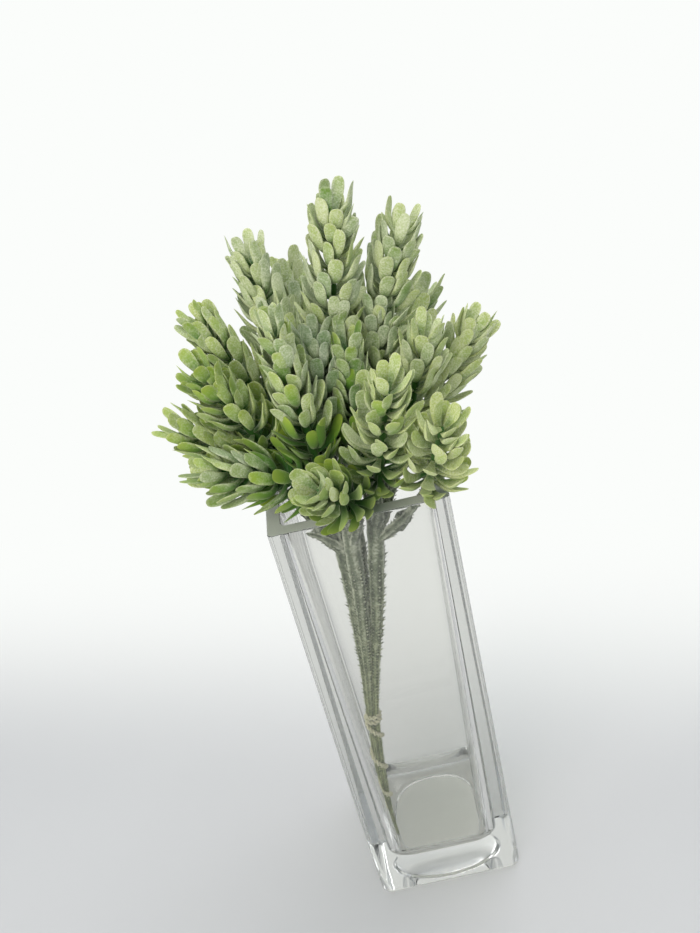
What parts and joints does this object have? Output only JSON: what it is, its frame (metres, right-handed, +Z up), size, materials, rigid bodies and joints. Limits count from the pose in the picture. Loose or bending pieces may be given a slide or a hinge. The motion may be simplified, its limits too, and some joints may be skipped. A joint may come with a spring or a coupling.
{
  "type": "burro's tail plant",
  "caption": "Bunch of artificial burro's tail: frosted leafy heads on thread-bound stems, standing in a square clear glass vase.",
  "frame": {"origin": "centre of the square foot of the vase, on the surface it stands on", "axes": "+Z up along the vase; +X across the front face to the right; -Y out of the front face"},
  "size_m": [0.1143, 0.1171, 0.296],
  "materials": {
    "clear_glass": "clear, polished",
    "grey_green_stem": "matte, flocked",
    "frosted_green_leaf": "matte, powder-frosted",
    "cream_thread": "twisted thread"
  },
  "bodies": {
    "root": {"vase": "clear_glass", "stem_left": "grey_green_stem", "stem_front": "grey_green_stem", "stem_right_front": "grey_green_stem", "stem_right": "grey_green_stem", "stem_back": "grey_green_stem", "leafy_head_01": "frosted_green_leaf", "leafy_head_02": "frosted_green_leaf", "leafy_head_03": "frosted_green_leaf", "leafy_head_04": "frosted_green_leaf", "leafy_head_05": "frosted_green_leaf", "leafy_head_06": "frosted_green_leaf", "leafy_head_07": "frosted_green_leaf", "leafy_head_08": "frosted_green_leaf", "leafy_head_09": "frosted_green_leaf", "leafy_head_10": "frosted_green_leaf", "leafy_head_11": "frosted_green_leaf", "leafy_head_12": "frosted_green_leaf", "leafy_head_13": "frosted_green_leaf", "leafy_head_14": "frosted_green_leaf", "leafy_head_15": "frosted_green_leaf", "leafy_head_16": "frosted_green_leaf", "leafy_head_17": "frosted_green_leaf", "leafy_head_18": "frosted_green_leaf", "binding_thread": "cream_thread"}
  },
  "joints": []
}
